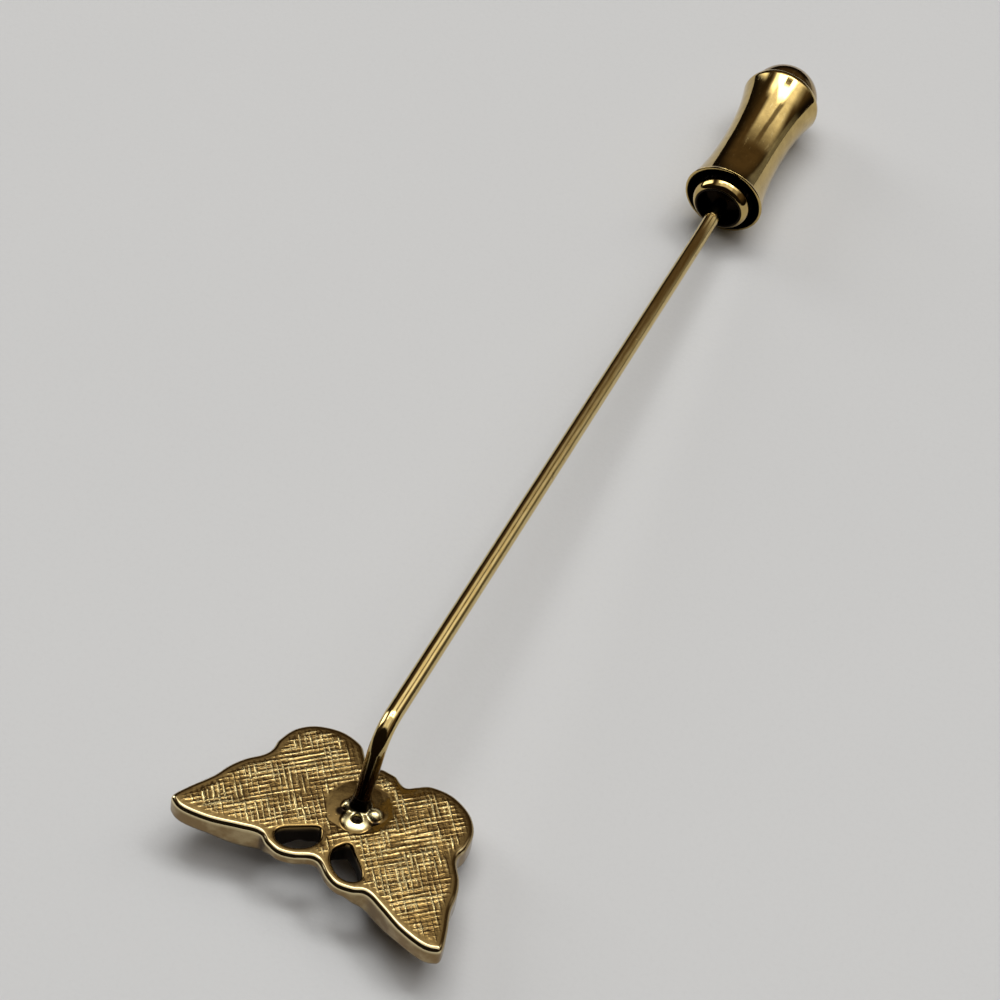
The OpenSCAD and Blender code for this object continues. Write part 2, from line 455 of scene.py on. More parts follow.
# %% Tables of the outline
SPAN = 17.4
CHORD = 9.74
SEAT_BACK = 3.85
WING = [
    (0.000, 0.850), (0.042, 0.862), (0.123, 0.909), (0.217, 0.934), (0.317, 0.916),
    (0.399, 0.881), (0.522, 0.915), (0.698, 0.973), (0.880, 1.000), (0.974, 0.979),
    (1.000, 0.938), (0.958, 0.830), (0.891, 0.695), (0.859, 0.583), (0.810, 0.488),
    (0.735, 0.405), (0.711, 0.345), (0.719, 0.270), (0.685, 0.146), (0.586, 0.051),
    (0.428, 0.000), (0.276, 0.016), (0.202, 0.068), (0.153, 0.107), (0.106, 0.101),
    (0.053, 0.076), (0.000, 0.074),
]
OPENING = [
    (0.055, 0.745), (0.072, 0.692), (0.104, 0.656), (0.142, 0.665), (0.230, 0.726),
    (0.295, 0.776), (0.315, 0.822), (0.276, 0.862), (0.217, 0.872), (0.158, 0.857),
    (0.090, 0.811),
]


def on_back(share):
    return Vector((share[0] * SPAN / 2, SEAT_BACK - share[1] * CHORD))


def curve_through(points, steps):
    count = len(points)
    line = []
    for i in range(count):
        a, b, c, d = (points[(i + k) % count] for k in (-1, 0, 1, 2))
        for k in range(steps):
            t = k / steps
            line.append(0.5 * (
                2 * b + (c - a) * t + (2 * a - 5 * b + 4 * c - d) * t ** 2
                + (3 * b - a - 3 * c + d) * t ** 3
            ))
    return line


def even_steps(points, pitch):
    ends = points[1:] + points[:1]
    length = sum((b - a).length for a, b in zip(points, ends))
    count = round(length / pitch)
    step = length / count
    line = []
    due = 0.0
    for a, b in zip(points, ends):
        span = (b - a).length
        while due < span and len(line) < count:
            line.append(a + (b - a) * (due / span))
            due += step
        due -= span
    return line


def area_of(points):
    return sum(a.cross(b) for a, b in zip(points, points[1:] + points[:1])) / 2


print("the outline's table has", len(WING), "rows, an opening's", len(OPENING))

# %% [markdown]
# The two halves of the real casting aren't quite alike: its left hind wing reaches a little
# further out. The loop is mirrored first and that wing is swollen after, so one table is enough.

# %% Even loops round the wings and the two openings
PITCH = 0.1
CURVE_STEPS = 12
HIND_SWELL = Vector((-0.06, 0.22))

half = [on_back(s) for s in WING]
whole = half + [Vector((-p.x, p.y)) for p in half[-2:0:-1]]
for point in whole:
    swell = smooth_step(-0.6, -2.2, point.x) * smooth_step(-1.6, 1.6, point.y)
    point += HIND_SWELL * swell
rim = even_steps(curve_through(whole, CURVE_STEPS), PITCH)
if area_of(rim) < 0:
    rim.reverse()
openings = []
for side in (-1, 1):
    ring = [Vector((side * p.x, p.y)) for p in (on_back(s) for s in OPENING)]
    ring = even_steps(curve_through(ring, CURVE_STEPS), PITCH)
    if area_of(ring) > 0:
        ring.reverse()
    openings.append(ring)
loops = [rim] + openings
print("round the wings:", len(rim), "steps; openings:", [len(o) for o in openings])

# %% [markdown]
# ## The butterfly as a solid
# The back could be a flat face with a bevel modifier, but a bevel on hundreds of short edges
# tangles at the notches. Instead the loops are stepped inwards by hand and lowered along a
# quarter circle, which is what a rounded edge is. The middle is filled with triangles over an
# even grid, so it can undulate a little as a casting does and hold the front's soft domes.

# %% Depths of the front
DOME_THICK = 2.45
FORE_DOME = ((0.58, 0.68), 4.6)
HIND_DOME = ((0.43, 0.25), 4.2)
EDGE_THICK = 1.45
ANTENNA_THICK = 0.95
BODY_R = 0.95
BODY_FRONT = on_back((0, 0.72)).y
BODY_TAIL = on_back((0, 0.18)).y
BODY_SWELL = 0.25


def dome_depth(spot, dome):
    centre = on_back(dome[0])
    away = (Vector((abs(spot.x), spot.y)) - centre).length
    if away >= dome[1]:
        return 0.0
    return DOME_THICK - dome[1] + math.sqrt(dome[1] ** 2 - away ** 2)


def body_depth(spot):
    share = (spot.y - BODY_FRONT) / (BODY_TAIL - BODY_FRONT)
    if not 0 < share < 1:
        return 0.0
    bow = math.acos(1 - 2 * share)
    radius = BODY_R * math.sin(bow) * (1 + BODY_SWELL * math.cos(bow))
    if abs(spot.x) >= radius:
        return 0.0
    return EDGE_THICK - BODY_R / 3 + math.sqrt(radius ** 2 - spot.x ** 2)


def front_depth(spot):
    forward = smooth_step(-2.6, -3.6, spot.y)
    middle = 1 - smooth_step(2.2, 3.5, abs(spot.x))
    plain = EDGE_THICK + (ANTENNA_THICK - EDGE_THICK) * forward * middle
    depth = soft_max(plain, dome_depth(spot, FORE_DOME), 0.25)
    depth = soft_max(depth, dome_depth(spot, HIND_DOME), 0.25)
    return soft_max(depth, body_depth(spot), 0.2)


print("the casting is", round(front_depth(Vector((0, 0))), 2), "mm thick under the wire")

# %% Height of the back, which is not quite flat
WAVE = 0.030


def back_height(spot, inland):
    slow = noise.noise(Vector((spot.x * 0.45, spot.y * 0.45, 3.1)))
    quick = noise.noise(Vector((spot.x * 1.3, spot.y * 1.3, 7.7)))
    return WAVE * (slow + 0.35 * quick) * smooth_step(0.2, 1.2, inland)


print("the back waves by about", WAVE, "mm")

# %% Step the loops inwards and fill the middle
BACK_ROUND = [0.29, 0.15, 0.15]
FRONT_ROUND = [0.34, 0.15, 0.15]
ROUND_STEPS = 8
GRID = 0.16
RIM_GAP = 0.07
HOLE_GAP = 0.06
WALL_ROWS = 5


def stepped_in(loop, distance):
    moved = []
    for before, here, after in zip([loop[-1]] + loop[:-1], loop, loop[1:] + loop[:1]):
        ahead = (after - before).normalized()
        moved.append(here + Vector((-ahead.y, ahead.x)) * distance)
    return moved


def tree_of(points):
    tree = KDTree(len(points))
    for i, p in enumerate(points):
        tree.insert((p.x, p.y, 0), i)
    tree.balance()
    return tree


def inside(loop, spot):
    odd = False
    for a, b in zip(loop, loop[1:] + loop[:1]):
        if (a.y > spot.y) != (b.y > spot.y):
            if spot.x < a.x + (spot.y - a.y) / (b.y - a.y) * (b.x - a.x):
                odd = not odd
    return odd


rim_tree = tree_of(rim)
hole_tree = tree_of(openings[0] + openings[1])


def inland_of(spot):
    return rim_tree.find((spot.x, spot.y, 0))[2]


def from_hole(spot):
    return hole_tree.find((spot.x, spot.y, 0))[2]


def in_metal(spot):
    return inside(rim, spot) and not any(inside(o, spot) for o in openings)


print("the wire stands", round(inland_of(Vector((0, 0))), 2), "mm from the rim")

# %% The grid of points in the middle
def middle_points(rim_margin, hole_margin):
    spots = []
    rows = int(CHORD / GRID) + 2
    columns = int(SPAN / GRID) + 2
    for i in range(-columns // 2, columns // 2 + 1):
        for j in range(rows):
            spot = Vector((i * GRID + (j % 2) * GRID / 2, SEAT_BACK - CHORD + (j - 0.5) * GRID))
            clear = inland_of(spot) > rim_margin and from_hole(spot) > hole_margin
            if clear and in_metal(spot):
                spots.append(spot)
    return spots


def fill(rings, middle):
    spots = [p for ring in rings for p in ring]
    edges = []
    start = 0
    for ring in rings:
        count = len(ring)
        edges += [(start + k, start + (k + 1) % count) for k in range(count)]
        start += count
    made = delaunay_2d_cdt(spots + middle, edges, [], 0, 1e-6)
    flat, triangles = made[0], made[2]
    keep = []
    for t in triangles:
        centre = (flat[t[0]] + flat[t[1]] + flat[t[2]]) / 3
        if inside(rings[0], centre) and not any(inside(r, centre) for r in rings[1:]):
            keep.append(tuple(t))
    return flat, keep


print("the grid's points are", GRID, "mm apart")

# %% Build the casting
def rounded_drop(distance, radius):
    return radius - math.sqrt(max(0.0, radius ** 2 - (radius - distance) ** 2))


class Shell:
    def __init__(self):
        self.points = []
        self.faces = []

    def add(self, spot, height):
        self.points.append((spot.x, spot.y, height))
        return len(self.points) - 1

    def stitch(self, one, two):
        count = len(one)
        for k in range(count):
            n = (k + 1) % count
            self.faces.append((one[k], one[n], two[n], two[k]))

    def skin(self, radii, height_at):
        first_rows = []
        last_rows = []
        last_rings = []
        for loop, radius in zip(loops, radii):
            rows = []
            for k in range(ROUND_STEPS + 1):
                distance = radius * (1 - math.cos(math.pi / 2 * k / ROUND_STEPS))
                ring = stepped_in(loop, distance)
                drop = rounded_drop(distance, radius)
                rows.append([self.add(p, height_at(p, drop)) for p in ring])
            for one, two in zip(rows, rows[1:]):
                self.stitch(one, two)
            first_rows.append(rows[0])
            last_rows += rows[-1]
            last_rings.append(ring)
        middle = middle_points(radii[0] + RIM_GAP, radii[1] + HOLE_GAP)
        flat, triangles = fill(last_rings, middle)
        numbers = last_rows + [self.add(p, height_at(p, 0)) for p in flat[len(last_rows):]]
        self.faces += [tuple(numbers[i] for i in t) for t in triangles]
        return first_rows

    def wall(self, top, foot, rows_between):
        rows = [top]
        for k in range(1, rows_between + 1):
            row = []
            for a, b in zip(top, foot):
                high, low = self.points[a], self.points[b]
                height = high[2] + (low[2] - high[2]) * k / (rows_between + 1)
                row.append(self.add(Vector(high[:2]), height))
            rows.append(row)
        rows.append(foot)
        for one, two in zip(rows, rows[1:]):
            self.stitch(one, two)


shell = Shell()
tops = shell.skin(BACK_ROUND, lambda p, drop: back_height(p, inland_of(p)) - drop)
feet = shell.skin(FRONT_ROUND, lambda p, drop: drop - front_depth(p))
for top, foot in zip(tops, feet):
    shell.wall(top, foot, WALL_ROWS)
print("casting:", len(shell.points), "points,", len(shell.faces), "faces")

# %% [markdown]
# ## Gold on the casting
# All the gold is one warm plating over brass. What differs is how it was worked, how it aged,
# and where light and shade are painted into its colour. The rim is polished, with a painted
# highlight along the leading edge of the forewings; the side wall is duller and painted darker as
# shade; the walls of the openings are painted nearly black as shade; and the back carries two
# sets of fine crossed strokes about a third of a millimetre apart, with painted highlights on
# their crests and painted shade in their valleys. The strokes are far too fine to model one by
# one, so they are a bump. Where each finish goes is a value from 0 to 1 that the mesh stores at
# its points, one mask for each.

# %% Gold colours
GOLD = colour(0.58, 0.42, 0.155)
DEEP_GOLD = colour(0.34, 0.22, 0.08)
PALE_SCRATCH_AND_PAINTED_CREST_GOLD = colour(0.74, 0.59, 0.28)
PAINTED_WALL_SHADE = colour(0.225, 0.148, 0.066)
FIELD_GOLD = colour(0.32, 0.21, 0.072)
VALLEY_GOLD = colour(0.17, 0.105, 0.036)
RIM_GOLD = colour(0.24, 0.158, 0.056)
PAINTED_EDGE_HIGHLIGHT = colour(0.76, 0.64, 0.37)
SOLDER_GOLD = colour(0.97, 0.84, 0.47)
SEAT_GOLD = colour(0.19, 0.125, 0.045)
PAINTED_SHADE_BLACK = colour(0.012, 0.008, 0.005)
PAINTED_SHADE_BROWN = colour(0.045, 0.025, 0.012)
print("the plating's own colour is", GOLD[:3])

# %% Crossed strokes
STROKE_SETS = [
    # angle in degrees, millimetres from stroke to stroke
    (-49, 0.32),
    (47, 0.31),
]
STROKE_DEPTH = 0.000055


def strokes(recipe, where, degrees, pitch):
    angle = math.radians(degrees)
    drift = recipe.noise(recipe.along(where, angle, (0.20, 0.9, 1.0)), 1.0, 2.0)
    across = recipe.parts(recipe.along(where, angle, (1.0, 1.0, 1.0)))[1]
    wave = ((across + drift * 0.20) * (2 * math.pi / pitch)).sine() * 0.5 + 0.5
    lines = recipe.noise(recipe.along(where, angle, (0.22, 7.0, 1.0)), 1.0, 2.0, 0.55)
    cut = wave * 0.66 + recipe.between(0.40, 0.60, lines) * 0.40
    broken = recipe.noise(recipe.along(where, angle, (0.7, 3.2, 1.0)), 1.0, 3.0, 0.6)
    return cut ** 2.6 * recipe.between(0.40, 0.58, broken, 0.25, 1.0)


print("strokes:", STROKE_SETS)

# %% Finish of the casting
def brushed_back_finish():
    cast = new_finish("brushed_gold_casting")
    where = cast.millimetres()
    brushed = cast.mask("brushed")
    side = cast.mask("side")
    tarnish = cast.mask("tarnish")
    level, steep = (strokes(cast, where, *row) for row in STROKE_SETS)
    zone = cast.noise(where, 0.42, 2.0)
    level_share = cast.between(0.38, 0.54, zone, 0.25, 1.0)
    steep_share = cast.between(0.48, 0.66, zone, 1.0, 0.30)
    hatch = level * level_share + steep * steep_share
    worn = cast.between(0.36, 0.56, cast.noise(where, 0.6, 3.0), 0.40, 1.0)
    hatch = hatch * worn
    grain = cast.noise(where, 6.0, 3.0, 0.6)
    height = (hatch + grain * 0.30) * brushed
    pool = cast.noise(where, 1.1, 3.0)
    warm = cast.tint(cast.between(0.35, 0.7, pool), VALLEY_GOLD, FIELD_GOLD)
    # Painted highlight and shade: stroke crests are pale, and valleys keep the darker field
    # colour.
    painted_stroke_light = cast.tint(cast.between(0.12, 0.75, hatch), warm, PALE_SCRATCH_AND_PAINTED_CREST_GOLD)
    # Painted highlight: the rounded rim takes a pale colour, strongest where it leads.
    shade = cast.tint(cast.mask("bright"), RIM_GOLD, PAINTED_EDGE_HIGHLIGHT)
    shade = cast.tint(brushed, shade, painted_stroke_light)
    # Painted shade: the side wall is darkened in patches, as it mirrors the shaded paper under it.
    shade = cast.tint(side * cast.between(0.3, 0.6, pool, 0.75, 1.0), shade, PAINTED_WALL_SHADE)
    # Painted shade: near black on the walls of the openings.
    shade = cast.tint(tarnish, shade, PAINTED_SHADE_BLACK)
    rough = 0.08 + brushed * 0.09 + grain * 0.05 + tarnish * 0.4 + side * 0.10
    return gold_with(cast, shade, rough, cast.bump(height, 1.0, STROKE_DEPTH))


casting_gold = brushed_back_finish()
print(casting_gold.name, "takes", len(casting_gold.node_tree.nodes), "nodes")

# %% [markdown]
# The four masks follow from where a point lies: how far inland from the rim, how far from an
# opening, how deep under the back, and which way the rim runs there. The casting is then turned
# and tilted onto the wire's foot, as it lies on the paper.

# %% Set the casting on the pin's body
FOOT = Vector((0.5905, -29.4606, 2.7193))
TURN = math.radians(-6.3)
TILT = math.radians(-9.9)
PLATE = Matrix.Translation(FOOT) @ Matrix.Rotation(TURN, 4, "Z") @ Matrix.Rotation(TILT, 4, "X")
PAD_R = 1.93


def brushed_at(point):
    spot = Vector(point[:2])
    share = smooth_step(0.40, 0.85, inland_of(spot))
    share *= smooth_step(0.15, 0.45, from_hole(spot))
    share *= smooth_step(PAD_R - 0.15, PAD_R + 0.25, spot.length)
    return share if point[2] > -0.2 else 0.0


# Painted shade mask: the walls of the openings, below the back, are marked for near black.
def tarnish_at(point):
    inner = 1 - smooth_step(0.04, 0.22, from_hole(Vector(point[:2])))
    return inner * smooth_step(-0.12, -0.40, point[2])


# Painted highlight mask: full on the rounded rim where it faces the near side, faint elsewhere.
def bright_at(point):
    number, inland = rim_tree.find((point[0], point[1], 0))[1:]
    ahead = (rim[(number + 1) % len(rim)] - rim[number - 1]).normalized()
    leading = smooth_step(0.05, 0.35, ahead.x)
    return (0.15 + 0.85 * leading) * (1 - smooth_step(0.12, 0.32, inland))


def side_at(point):
    return smooth_step(-0.24, -0.34, point[2])


make_piece(
    "butterfly_casting", shell.points, shell.faces, casting_gold, ON_PIN, PLATE,
    {
        "brushed": [brushed_at(p) for p in shell.points],
        "bright": [bright_at(p) for p in shell.points],
        "side": [side_at(p) for p in shell.points],
        "tarnish": [tarnish_at(p) for p in shell.points],
    },
)

# %% [markdown]
# ## The pin wire
# The wire is one piece of round stock: it stands on the butterfly's back, turns over in a tight
# bend, runs straight and eases level before the clutch. A curve object with a bevel would do,
# but a swept tube made by hand lets the point taper and keeps the rings close only where the
# wire bends. The route repeats the packed model's corner, directions and radii.

# %% Route of the wire
CORNER = Vector((0.8515, -27.189, 7.340))
ALONG = Vector((0, 0.9953, -0.09689)).normalized()
STANDING = Vector((0.05062, 0.44075, 0.8962)).normalized()
LEVEL = Vector((0, 0.999996, -0.002727)).normalized()
NEAR_RIM = Vector((0.8515, 23.088, 2.73))
WIRE_R = 0.5
BEND_R = 2.0
EASE_R = 30.0
WIRE_IN = 9.0
POINT_LEN = 2.2
POINT_R = 0.1
SUNK = 0.3
SHAFT_LEN = 47.5
BEND_STEPS = 40
EASE_STEPS = 12
WIRE_SIDES = 48


def bend_points(corner, before, after, radius, count):
    angle = before.angle(after)
    reach = radius * math.tan(angle / 2)
    middle_way = (after - before).normalized()
    centre = corner + middle_way * (radius / math.cos(angle / 2))
    start = corner - before * reach - centre
    axis = before.cross(after).normalized()
    return [centre + Matrix.Rotation(angle * k / count, 3, axis) @ start for k in range(count + 1)]


foot_gap = (CORNER - FOOT).dot(STANDING)
wire_foot = CORNER - STANDING * (foot_gap + SUNK)
shaft_end = CORNER + ALONG * SHAFT_LEN
bend = bend_points(CORNER, STANDING, ALONG, BEND_R, BEND_STEPS)
ease = bend_points(shaft_end, ALONG, LEVEL, EASE_R, EASE_STEPS)
point_start = NEAR_RIM + LEVEL * (WIRE_IN - POINT_LEN)
tip = NEAR_RIM + LEVEL * WIRE_IN
standing_run = [wire_foot.lerp(bend[0], k / 8) for k in range(8)]
shaft_run = [bend[-1].lerp(ease[0], k / 60) for k in range(1, 60)]
route = standing_run + bend + shaft_run + ease + [point_start, tip]
radii = [WIRE_R] * (len(route) - 1) + [POINT_R]
wire_length = sum((b - a).length for a, b in zip(route, route[1:]))
print("wire is", round(wire_length, 1), "mm long")

# %% Sweep a tube along a route
def swept_tube(line, radius, sides):
    points = []
    faces = []
    ahead = (line[1] - line[0]).normalized()
    across = ahead.orthogonal().normalized()
    for number, spot in enumerate(line):
        before = line[max(0, number - 1)]
        after = line[min(len(line) - 1, number + 1)]
        new_ahead = (after - before).normalized()
        across = ahead.rotation_difference(new_ahead) @ across
        ahead = new_ahead
        up_way = ahead.cross(across)
        for k in range(sides):
            a = 2 * math.pi * k / sides
            points.append(spot + (across * math.cos(a) + up_way * math.sin(a)) * radius[number])
    for number in range(len(line) - 1):
        row = number * sides
        for k in range(sides):
            n = (k + 1) % sides
            faces.append((row + k, row + n, row + sides + n, row + sides + k))
    faces.append(tuple(range(sides)))
    last = (len(line) - 1) * sides
    faces.append(tuple(last + k for k in range(sides)))
    return points, faces


tube_points, tube_faces = swept_tube(route, radii, WIRE_SIDES)
print("tube:", len(route), "rings of", WIRE_SIDES, "points")

# %% [markdown]
# Drawn wire is bright, with hair-fine lines along it and a few pits in the plating. The lines
# are noise stretched along the wire: they widen each highlight sideways only a little, and they
# keep the long reflections from looking computed. A painted dark reflection and shade darken the
# standing part near the solder, and painted shade darkens the end that the clutch hides.

# %% Wire finish
WIRE_DULL = colour(0.56, 0.405, 0.15)
WIRE_BRIGHT = colour(0.68, 0.53, 0.24)


def wire_finish():
    drawn = new_finish("drawn_gold_wire")
    where = drawn.millimetres()
    lines = drawn.noise(drawn.stretched(where, (9.0, 0.35, 9.0)), 1.0, 3.0, 0.6)
    pits = drawn.between(0.70, 0.78, drawn.noise(where, 2.6, 2.0))
    shade = drawn.tint(drawn.between(0.3, 0.7, lines), WIRE_DULL, WIRE_BRIGHT)
    shade = drawn.tint(pits * 0.7, shade, DEEP_GOLD)
    # Painted dark reflection and shade, near the solder and inside the clutch.
    shade = drawn.tint(drawn.mask("tarnish"), shade, PAINTED_SHADE_BROWN)
    rough = 0.05 + lines * 0.05 + pits * 0.2
    return gold_with(drawn, shade, rough, drawn.bump(lines - pits, 0.25, 0.00001))


# Mask of the painted darkening: the standing part near the solder and the end in the clutch.
wire_painted_shade = [
    max(
        1 - smooth_step(2.2, 5.0, (p - FOOT).dot(STANDING)),
        smooth_step(-1.0, -0.7, (p - NEAR_RIM).dot(LEVEL)),
    )
    for p in tube_points
]
make_piece(
    "pin_wire", tube_points, tube_faces, wire_finish(), ON_PIN, None, {"tarnish": wire_painted_shade}
)

# %% [markdown]
# ## The solder
# The wire's foot was soldered: a smooth low pad, a short collar drawn up the wire, a fat drop on
# the near side with a blow hole in it, and a small lobe on each side. Melted metal has no
# edges, so the forms are laid into each other as balls and a flare, joined by a voxel remesh
# and smoothed until the valleys between them fill, which is what surface tension does. The blow
# hole is pressed in afterwards, and a mask marks painted shade in it, beside the lobes and round
# the wire's foot.

# %% Forms of the solder
SOLDER_FORMS = [
    # middle x, y and z, half widths x, y and z, lean towards the camera in degrees
    (0.00, 0.00, -0.10, 2.45, 2.45, 0.14, 0),
    (0.42, -1.05, -0.40, 1.12, 1.12, 0.64, 6),
    (-0.46, -0.32, -0.06, 0.40, 0.40, 0.42, 0),
    (1.00, -0.06, -0.06, 0.46, 0.46, 0.40, 0),
]
HOLE_MIDDLE = Vector((0.42, -0.94))
HOLE_R = 0.38
HOLE_DEPTH = 0.22
SHADE_MIDDLES = [Vector((-0.66, -0.88)), Vector((1.46, -0.60))]
SHADE_R = 0.36
FOOT_SHADE_R = 0.66
FLARE_R = 0.74
FLARE_LEN = 0.75
FLARE_SKIN = 0.03
VOXEL = 0.05
FLOW_ROUNDS = 8
TO_CAMERA = Vector((0.40, -0.92, 0))


def ball(work, form):
    made = bmesh.ops.create_icosphere(work, subdivisions=4, radius=1.0)
    axis = Vector((0, 0, 1)).cross(TO_CAMERA)
    lean = Matrix.Rotation(math.radians(form[6]), 3, axis)
    for v in made["verts"]:
        widths = Vector((v.co.x * form[3], v.co.y * form[4], v.co.z * form[5]))
        v.co = lean @ widths + Vector(form[:3])


def flare(work, way, low, high, length):
    steps = 16
    sides = 32
    turn = way.to_track_quat("Z", "Y").to_matrix()
    rows = []
    for k in range(steps + 1):
        share = k / steps
        radius = high + (low - high) * (1 - share) ** 2
        row = []
        for s in range(sides):
            a = 2 * math.pi * s / sides
            ring = Vector((math.cos(a) * radius, math.sin(a) * radius, length * share))
            row.append(work.verts.new(turn @ ring))
        rows.append(row)
    for one, two in zip(rows, rows[1:]):
        for s in range(sides):
            n = (s + 1) % sides
            work.faces.new((one[s], one[n], two[n], two[s]))
    work.faces.new(rows[0][::-1])
    work.faces.new(rows[-1])


print(len(SOLDER_FORMS), "balls and a flare make the solder")

# %% Join and smooth the forms
def melted(work, voxel, rounds):
    mesh = bpy.data.meshes.new("melt")
    work.to_mesh(mesh)
    work.free()
    rough = bpy.data.objects.new("melt", mesh)
    bpy.context.collection.objects.link(rough)
    remesh = rough.modifiers.new("join", "REMESH")
    remesh.mode = "VOXEL"
    remesh.voxel_size = voxel
    flow = rough.modifiers.new("flow", "SMOOTH")
    flow.iterations = rounds
    flow.factor = 0.5
    seen = rough.evaluated_get(bpy.context.evaluated_depsgraph_get())
    done = seen.to_mesh()
    points = [v.co.copy() for v in done.vertices]
    faces = [tuple(p.vertices) for p in done.polygons]
    seen.to_mesh_clear()
    bpy.data.objects.remove(rough)
    return points, faces


def spot_share(point, middle, radius):
    away = (Vector((point.x, point.y)) - middle).length
    return 1 - smooth_step(0.6 * radius, radius, away)


standing_here = PLATE.to_3x3().inverted() @ STANDING
solder_work = bmesh.new()
for form in SOLDER_FORMS:
    ball(solder_work, form)
flare(solder_work, standing_here, FLARE_R, WIRE_R + FLARE_SKIN, FLARE_LEN)
solder_points, solder_faces = melted(solder_work, VOXEL, FLOW_ROUNDS)
print("solder:", len(solder_points), "points")

# %% Press the blow hole in and paint shade on the solder
solder_painted_shade = []
# Painted shade: the blow hole, a spot beside each lobe and a ring round the wire's foot.
for point in solder_points:
    dark = spot_share(point, HOLE_MIDDLE, HOLE_R)
    if point.z > 0:
        point.z -= dark * HOLE_DEPTH
    for middle in SHADE_MIDDLES:
        dark = max(dark, spot_share(point, middle, SHADE_R))
    off_wire = (point - standing_here * point.dot(standing_here)).length
    if point.z > 0.10:
        dark = max(dark, 1 - smooth_step(FOOT_SHADE_R, FOOT_SHADE_R + 0.08, off_wire))
    solder_painted_shade.append(dark)
print("shaded points:", sum(dark > 0.5 for dark in solder_painted_shade))

# %% Solder finish
def solder_finish():
    melt = new_finish("gilt_solder")
    where = melt.millimetres()
    mottle = melt.noise(where, 1.6, 3.0)
    pits = melt.between(0.68, 0.76, melt.noise(where, 4.5, 2.0))
    raised = melt.between(0.05, 0.14, melt.parts(where)[2])
    seat = melt.tint(melt.between(0.35, 0.65, mottle), SEAT_GOLD, RIM_GOLD)
    shade = melt.tint(raised, seat, SOLDER_GOLD)
    shade = melt.tint(pits * 0.8, shade, DEEP_GOLD)
    # Painted shade: near black where the mask marks it.
    shade = melt.tint(melt.mask("tarnish"), shade, PAINTED_SHADE_BLACK)
    rough = 0.10 + raised * 0.12 + mottle * 0.08 + pits * 0.25
    return gold_with(melt, shade, rough, melt.bump(mottle - pits * 0.4, 0.3, 0.00003))


make_piece(
    "solder_seat", solder_points, solder_faces, solder_finish(), ON_PIN, PLATE,
    {"tarnish": solder_painted_shade},
)

# %% [markdown]
# ## The clutch
# The clutch is turned work: a waisted sleeve with a flare at each end, a collar that looks out
# of the near rim with a wide mouth for the wire, and a domed knob that closes the far end. A
# profile of radius against length, spun round the axis, is how the lathe makes them and how the
# mesh is made. The lips are rounded in the profile, because a thin bright line on each lip is
# what tells the eye that the metal is thin.

# %% Spin a profile round the clutch's axis
TURNS = 128


def spun(profile, closed):
    side_way = LEVEL.cross(Vector((0, 0, 1))).normalized()
    top_way = side_way.cross(LEVEL).normalized()
    points = []
    for radius, along in profile:
        for k in range(TURNS):
            a = 2 * math.pi * k / TURNS
            out = side_way * math.cos(a) + top_way * math.sin(a)
            points.append(NEAR_RIM + LEVEL * along + out * radius)
    faces = []
    rows = len(profile)
    for i in range(rows if closed else rows - 1):
        one = i * TURNS
        two = ((i + 1) % rows) * TURNS
        for k in range(TURNS):
            n = (k + 1) % TURNS
            faces.append((one + k, one + n, two + n, two + k))
    return points, faces


def arc(middle_r, middle_s, wide, deep, start, end, count):
    line = []
    for k in range(count + 1):
        a = math.radians(start + (end - start) * k / count)
        line.append((middle_r + wide * math.cos(a), middle_s + deep * math.sin(a)))
    return line


print("turned pieces have", TURNS, "sides")

# %% [markdown]
# Along the sleeve, each flare dies away as a power of the distance from its rim, which is how
# spun tube opens. The near lip is a thin round edge, the far one is rolled in over a quarter of
# an ellipse. The hollow behind it leaves room for the domed end when the sleeve is drawn.

# %% Profile of the sleeve
SLEEVE_LEN = 11.0
WAIST_R = 2.12
NEAR_R = 2.73
FAR_R = 2.70
NEAR_LIP = 0.12
FAR_LIP_WIDE = 0.30
FAR_LIP_DEEP = 0.5
FAR_EDGE = SLEEVE_LEN - FAR_LIP_DEEP
FLARE_REACH = SLEEVE_LEN * 0.6
FLARE_POWER = 3.0
OUTSIDE_STEPS = 90
DARK_NEAR_LIP = 5


def opened(distance):
    return max(0.0, 1 - distance / FLARE_REACH) ** FLARE_POWER


def sleeve_radius(along):
    near = (NEAR_R - WAIST_R) * opened(along)
    far = (FAR_R - WAIST_R) * opened(FAR_EDGE - along)
    return WAIST_R + near + far


outside = []
for k in range(OUTSIDE_STEPS + 1):
    along = NEAR_LIP + (FAR_EDGE - NEAR_LIP) * k / OUTSIDE_STEPS
    outside.append((sleeve_radius(along), along))
far_lip = arc(FAR_R - FAR_LIP_WIDE, FAR_EDGE, FAR_LIP_WIDE, FAR_LIP_DEEP, 0, 90, 14)[1:]
near_lip = arc(NEAR_R - NEAR_LIP, NEAR_LIP, NEAR_LIP, NEAR_LIP, 180, 345, 10)
hollow = [(2.42, 10.00), (1.58, 10.00), (1.58, 1.10), (2.16, 1.05)]
sleeve_profile = outside + far_lip + hollow + near_lip
sleeve_points, sleeve_faces = spun(sleeve_profile, True)
# Painted shade: the hollow and the inner half of the near lip are marked for near black.
first_dark = (len(outside) + len(far_lip)) * TURNS
last_dark = first_dark + (len(hollow) + DARK_NEAR_LIP) * TURNS
sleeve_painted_shade = [float(first_dark <= k < last_dark) for k in range(len(sleeve_points))]
print("sleeve profile:", len(sleeve_profile), "points")

# %% [markdown]
# The collar's edge is rolled in towards its mouth, so it shows as a bright ring round a dark hole.
# Everything of it behind that ring, the mouth too, lies in the shade of the sleeve, and that shade
# is painted on as a near-black colour.

# %% Profile of the collar and its mouth
COLLAR_R = 2.0
MOUTH_R = 1.5
COLLAR_OUT = 0.9
RING_START = 0.1
RING_WIDE = COLLAR_R - MOUTH_R - 0.04
RING_STEPS = 20
DARK_RING_ROWS = 4

